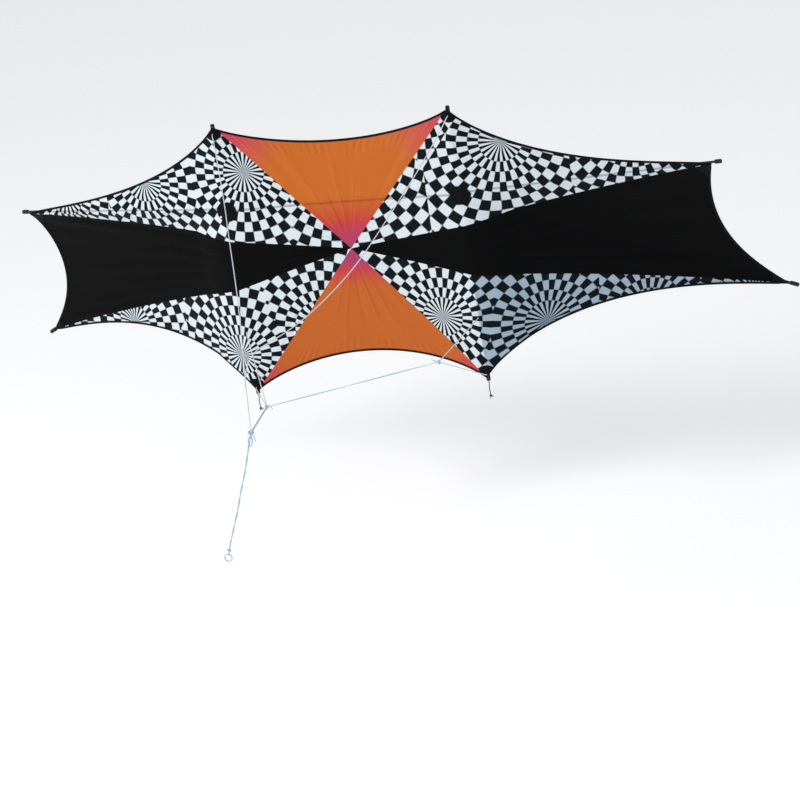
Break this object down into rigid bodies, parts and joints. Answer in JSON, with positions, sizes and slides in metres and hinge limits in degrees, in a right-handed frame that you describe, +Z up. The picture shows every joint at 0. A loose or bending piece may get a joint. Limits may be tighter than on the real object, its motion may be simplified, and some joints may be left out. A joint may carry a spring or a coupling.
{
  "type": "kite",
  "caption": "Wide scalloped kite on twin upright spines, with swept-back flexing wings, checked, orange and black cloth panels, and a cord bridle with a leader.",
  "frame": {"origin": "centre of the tow knot, where the bridle and the leader meet, in front of the face", "axes": "+Z up the spines to the nose, +X to the right as the face is seen, +Y from the face to the back"},
  "size_m": [1.8946, 1.3641, 0.6994],
  "materials": {
    "carbon_rod": "pultruded carbon rod, satin",
    "vinyl_cap": "soft vinyl, matte",
    "moulded_fitting": "moulded nylon, fine grain",
    "orange_cloth": "printed ripstop, orange fading to magenta",
    "checked_cloth": "printed ripstop, warped black and white checks",
    "black_cloth": "black ripstop, faint sheen",
    "black_tape": "folded and stitched edge tape",
    "white_cord": "braided polyester line",
    "black_cord": "braided tie cord"
  },
  "bodies": {
    "root": {"left_spine": "carbon_rod", "right_spine": "carbon_rod", "left_top_cap": "vinyl_cap", "right_top_cap": "vinyl_cap", "left_bottom_nock": "vinyl_cap", "right_bottom_nock": "vinyl_cap", "left_hub": "moulded_fitting", "right_hub": "moulded_fitting", "cross_spar": "carbon_rod", "top_panel": "orange_cloth", "bottom_panel": "orange_cloth", "left_inner_upper_check": "checked_cloth", "right_inner_upper_check": "checked_cloth", "left_inner_black": "black_cloth", "right_inner_black": "black_cloth", "left_inner_lower_check": "checked_cloth", "right_inner_lower_check": "checked_cloth", "top_binding": "black_tape", "bottom_binding": "black_tape", "left_hub_patch": "black_tape", "right_hub_patch": "black_tape", "left_spine_patches": "black_tape", "right_spine_patches": "black_tape", "left_top_leg": "white_cord", "right_top_leg": "white_cord", "left_upper_v_leg": "white_cord", "left_lower_v_leg": "white_cord", "right_upper_v_leg": "white_cord", "right_lower_v_leg": "white_cord", "cross_leg": "white_cord", "tow_pair": "white_cord", "left_v_knot": "white_cord", "right_v_knot": "white_cord", "tow_knot": "white_cord", "leader": "white_cord", "leader_loop": "white_cord", "left_tail_tie": "black_cord", "right_tail_tie": "black_cord"},
    "left_wing": {"left_wing_fitting": "moulded_fitting", "left_upper_spar": "carbon_rod", "left_lower_spar": "carbon_rod", "left_upper_tip_cap": "vinyl_cap", "left_lower_tip_cap": "vinyl_cap", "left_wing_upper_check": "checked_cloth", "left_wing_black": "black_cloth", "left_wing_lower_check": "checked_cloth", "left_upper_binding": "black_tape", "left_side_binding": "black_tape", "left_lower_binding": "black_tape"},
    "right_wing": {"right_wing_fitting": "moulded_fitting", "right_upper_spar": "carbon_rod", "right_lower_spar": "carbon_rod", "right_upper_tip_cap": "vinyl_cap", "right_lower_tip_cap": "vinyl_cap", "right_wing_upper_check": "checked_cloth", "right_wing_black": "black_cloth", "right_wing_lower_check": "checked_cloth", "right_upper_binding": "black_tape", "right_side_binding": "black_tape", "right_lower_binding": "black_tape"}
  },
  "joints": [
    {"name": "left_wing_flex", "type": "hinge", "parent": "root", "child": "left_wing", "pos_m": [-0.281, 0.85, 0.238], "axis": [0, 0, -1], "range_deg": [-12, 20], "stiffness_Nm_per_rad": 6},
    {"name": "right_wing_flex", "type": "hinge", "parent": "root", "child": "right_wing", "pos_m": [0.281, 0.85, 0.238], "axis": [0, 0, 1], "range_deg": [-12, 20], "stiffness_Nm_per_rad": 6}
  ]
}
